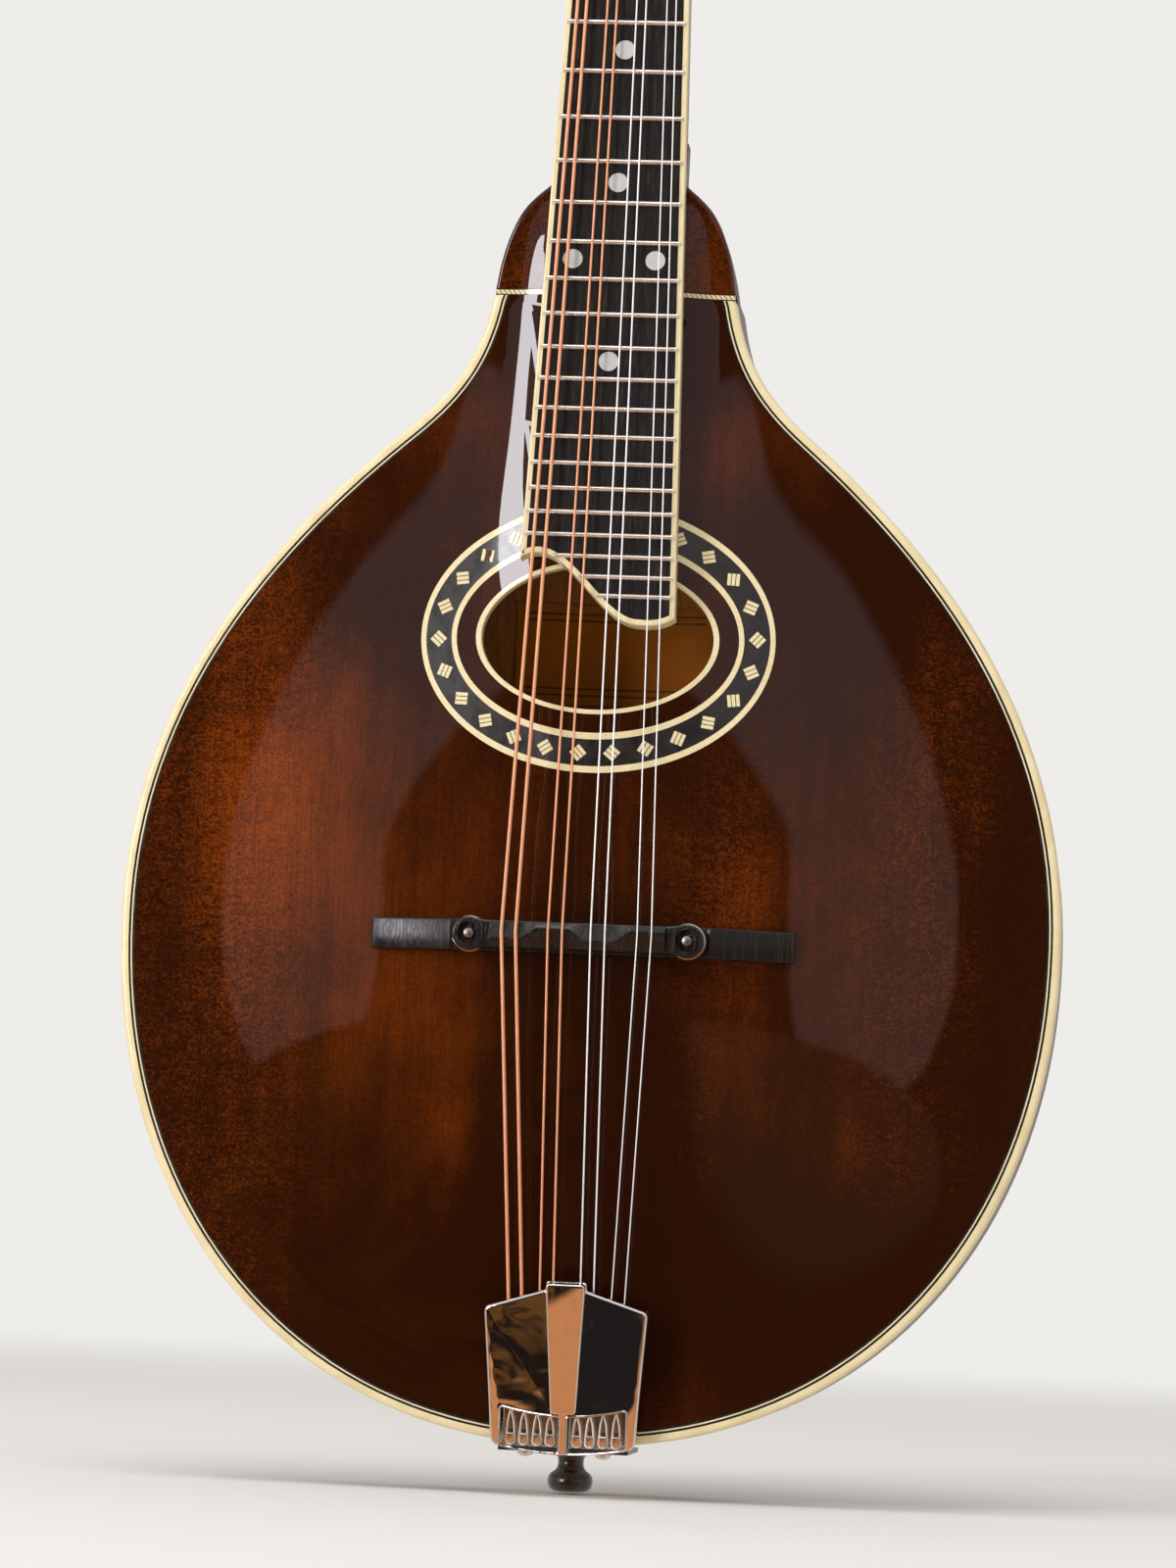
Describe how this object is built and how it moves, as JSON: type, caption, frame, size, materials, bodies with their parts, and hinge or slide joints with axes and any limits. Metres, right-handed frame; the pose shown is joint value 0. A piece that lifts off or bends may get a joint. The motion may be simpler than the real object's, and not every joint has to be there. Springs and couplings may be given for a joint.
{
  "type": "mandolin",
  "caption": "A-style mandolin with a carved top and back, oval sound hole, floating bridge, hook tailpiece with a cover, and geared tuners on plates.",
  "frame": {"origin": "middle of the end pin's outer flat face", "axes": "+Z along the body towards the headstock, -Y out of the top towards the strings, +X to the treble side"},
  "size_m": [0.256, 0.1111, 0.6574],
  "materials": {
    "top_wood": "deep gloss lacquer over dark brown stained spruce",
    "back_wood": "deep gloss lacquer over dark brown stained maple",
    "rib_wood": "deep gloss lacquer over dark brown stained maple",
    "neck_wood": "gloss lacquer over dark brown stained maple",
    "inner_wood": "bare",
    "binding": "polished ivory colour",
    "inlay": "polished black inlay with pale lines and squares",
    "paper": "matt",
    "ebony": "oiled ebony",
    "bone": "polished bone",
    "steel": "plain steel",
    "nickel": "polished nickel plate",
    "brass": "plain brass",
    "bronze": "bronze wound wire",
    "end_pin_wood": "polished ebony"
  },
  "bodies": {
    "root": {"top_plate": "top_wood", "back_plate": "back_wood", "rib_bass": "rib_wood", "rib_treble": "rib_wood", "neck_block": "inner_wood", "tail_block": "inner_wood", "top_lining_bass": "inner_wood", "top_lining_treble": "inner_wood", "back_lining_bass": "inner_wood", "back_lining_treble": "inner_wood", "top_brace": "inner_wood", "top_binding": "binding", "back_binding": "binding", "neck_joint_strip": "binding", "rosette": "inlay", "soundhole_binding": "binding", "label": "paper", "neck": "neck_wood", "fingerboard": "ebony", "fingerboard_binding": "binding", "fingerboard_riser": "neck_wood", "nut": "bone", "truss_rod": "steel", "truss_rod_cover": "ebony", "headstock_veneer": "ebony", "bridge_base": "ebony", "bridge_post_bass": "brass", "bridge_post_treble": "brass", "tailpiece_base": "nickel", "end_pin": "end_pin_wood", "string_g_outer": "bronze", "string_g_inner": "bronze", "string_d_outer": "bronze", "string_d_inner": "bronze", "string_e_outer": "steel", "string_e_inner": "steel", "string_a_outer": "steel", "string_a_inner": "steel", "tuner_plate_bass": "nickel", "tuner_plate_treble": "nickel"},
    "saddle": {"bridge_saddle": "ebony"},
    "wheel_bass": {"thumbwheel_bass": "nickel"},
    "wheel_treble": {"thumbwheel_treble": "nickel"},
    "cover": {"tailpiece_cover": "nickel"},
    "knob_bass_1": {"tuner_knob_bass_1": "nickel"},
    "post_bass_1": {"tuner_post_bass_1": "nickel"},
    "knob_bass_2": {"tuner_knob_bass_2": "nickel"},
    "post_bass_2": {"tuner_post_bass_2": "nickel"},
    "knob_bass_3": {"tuner_knob_bass_3": "nickel"},
    "post_bass_3": {"tuner_post_bass_3": "nickel"},
    "knob_bass_4": {"tuner_knob_bass_4": "nickel"},
    "post_bass_4": {"tuner_post_bass_4": "nickel"},
    "knob_treble_1": {"tuner_knob_treble_1": "nickel"},
    "post_treble_1": {"tuner_post_treble_1": "nickel"},
    "knob_treble_2": {"tuner_knob_treble_2": "nickel"},
    "post_treble_2": {"tuner_post_treble_2": "nickel"},
    "knob_treble_3": {"tuner_knob_treble_3": "nickel"},
    "post_treble_3": {"tuner_post_treble_3": "nickel"},
    "knob_treble_4": {"tuner_knob_treble_4": "nickel"},
    "post_treble_4": {"tuner_post_treble_4": "nickel"}
  },
  "joints": [
    {"name": "saddle_height", "type": "slide", "parent": "root", "child": "saddle", "axis": [0, 1, 0], "range_m": [0, 0.0015]},
    {"name": "thumbwheel_bass_turn", "type": "hinge", "parent": "saddle", "child": "wheel_bass", "pos_m": [-0.0292, -0.0436, 0.1484], "axis": [0, 1, 0], "range_deg": [0, 675.5]},
    {"name": "thumbwheel_treble_turn", "type": "hinge", "parent": "saddle", "child": "wheel_treble", "pos_m": [0.0292, -0.0436, 0.1484], "axis": [0, 1, 0], "range_deg": [0, 675.5]},
    {"name": "cover_slide", "type": "slide", "parent": "root", "child": "cover", "axis": [0, -0.1832, 0.9831], "range_m": [0, 0.055]},
    {"name": "knob_bass_1_turn", "type": "hinge", "parent": "root", "child": "knob_bass_1", "pos_m": [-0.0195, 0.02519, 0.54092], "axis": [1, 0, 0], "range_deg": [-630, 630]},
    {"name": "post_bass_1_turn", "type": "hinge", "parent": "root", "child": "post_bass_1", "pos_m": [-0.0195, 0.0061, 0.54185], "axis": [0, 0.9426, -0.3338], "range_deg": [-45.1, 45.1]},
    {"name": "knob_bass_2_turn", "type": "hinge", "parent": "root", "child": "knob_bass_2", "pos_m": [-0.0195, 0.03286, 0.5626], "axis": [1, 0, 0], "range_deg": [-630, 630]},
    {"name": "post_bass_2_turn", "type": "hinge", "parent": "root", "child": "post_bass_2", "pos_m": [-0.0195, 0.01378, 0.56353], "axis": [0, 0.9426, -0.3338], "range_deg": [-45.1, 45.1]},
    {"name": "knob_bass_3_turn", "type": "hinge", "parent": "root", "child": "knob_bass_3", "pos_m": [-0.0195, 0.04054, 0.58429], "axis": [1, 0, 0], "range_deg": [-630, 630]},
    {"name": "post_bass_3_turn", "type": "hinge", "parent": "root", "child": "post_bass_3", "pos_m": [-0.0195, 0.02145, 0.58521], "axis": [0, 0.9426, -0.3338], "range_deg": [-45.1, 45.1]},
    {"name": "knob_bass_4_turn", "type": "hinge", "parent": "root", "child": "knob_bass_4", "pos_m": [-0.0195, 0.04822, 0.60597], "axis": [1, 0, 0], "range_deg": [-630, 630]},
    {"name": "post_bass_4_turn", "type": "hinge", "parent": "root", "child": "post_bass_4", "pos_m": [-0.0195, 0.02913, 0.60689], "axis": [0, 0.9426, -0.3338], "range_deg": [-45.1, 45.1]},
    {"name": "knob_treble_1_turn", "type": "hinge", "parent": "root", "child": "knob_treble_1", "pos_m": [0.0195, 0.02519, 0.54092], "axis": [1, 0, 0], "range_deg": [-630, 630]},
    {"name": "post_treble_1_turn", "type": "hinge", "parent": "root", "child": "post_treble_1", "pos_m": [0.0195, 0.0061, 0.54185], "axis": [0, 0.9426, -0.3338], "range_deg": [-45.1, 45.1]},
    {"name": "knob_treble_2_turn", "type": "hinge", "parent": "root", "child": "knob_treble_2", "pos_m": [0.0195, 0.03286, 0.5626], "axis": [1, 0, 0], "range_deg": [-630, 630]},
    {"name": "post_treble_2_turn", "type": "hinge", "parent": "root", "child": "post_treble_2", "pos_m": [0.0195, 0.01378, 0.56353], "axis": [0, 0.9426, -0.3338], "range_deg": [-45.1, 45.1]},
    {"name": "knob_treble_3_turn", "type": "hinge", "parent": "root", "child": "knob_treble_3", "pos_m": [0.0195, 0.04054, 0.58429], "axis": [1, 0, 0], "range_deg": [-630, 630]},
    {"name": "post_treble_3_turn", "type": "hinge", "parent": "root", "child": "post_treble_3", "pos_m": [0.0195, 0.02145, 0.58521], "axis": [0, 0.9426, -0.3338], "range_deg": [-45.1, 45.1]},
    {"name": "knob_treble_4_turn", "type": "hinge", "parent": "root", "child": "knob_treble_4", "pos_m": [0.0195, 0.04822, 0.60597], "axis": [1, 0, 0], "range_deg": [-630, 630]},
    {"name": "post_treble_4_turn", "type": "hinge", "parent": "root", "child": "post_treble_4", "pos_m": [0.0195, 0.02913, 0.60689], "axis": [0, 0.9426, -0.3338], "range_deg": [-45.1, 45.1]}
  ],
  "couplings": [
    {"joint": "thumbwheel_bass_turn", "follows": "saddle_height", "rad_per_m": 7854},
    {"joint": "thumbwheel_treble_turn", "follows": "saddle_height", "rad_per_m": 7854},
    {"joint": "post_bass_1_turn", "follows": "knob_bass_1_turn", "ratio": -0.071429},
    {"joint": "post_bass_2_turn", "follows": "knob_bass_2_turn", "ratio": -0.071429},
    {"joint": "post_bass_3_turn", "follows": "knob_bass_3_turn", "ratio": -0.071429},
    {"joint": "post_bass_4_turn", "follows": "knob_bass_4_turn", "ratio": -0.071429},
    {"joint": "post_treble_1_turn", "follows": "knob_treble_1_turn", "ratio": -0.071429},
    {"joint": "post_treble_2_turn", "follows": "knob_treble_2_turn", "ratio": -0.071429},
    {"joint": "post_treble_3_turn", "follows": "knob_treble_3_turn", "ratio": -0.071429},
    {"joint": "post_treble_4_turn", "follows": "knob_treble_4_turn", "ratio": -0.071429}
  ]
}
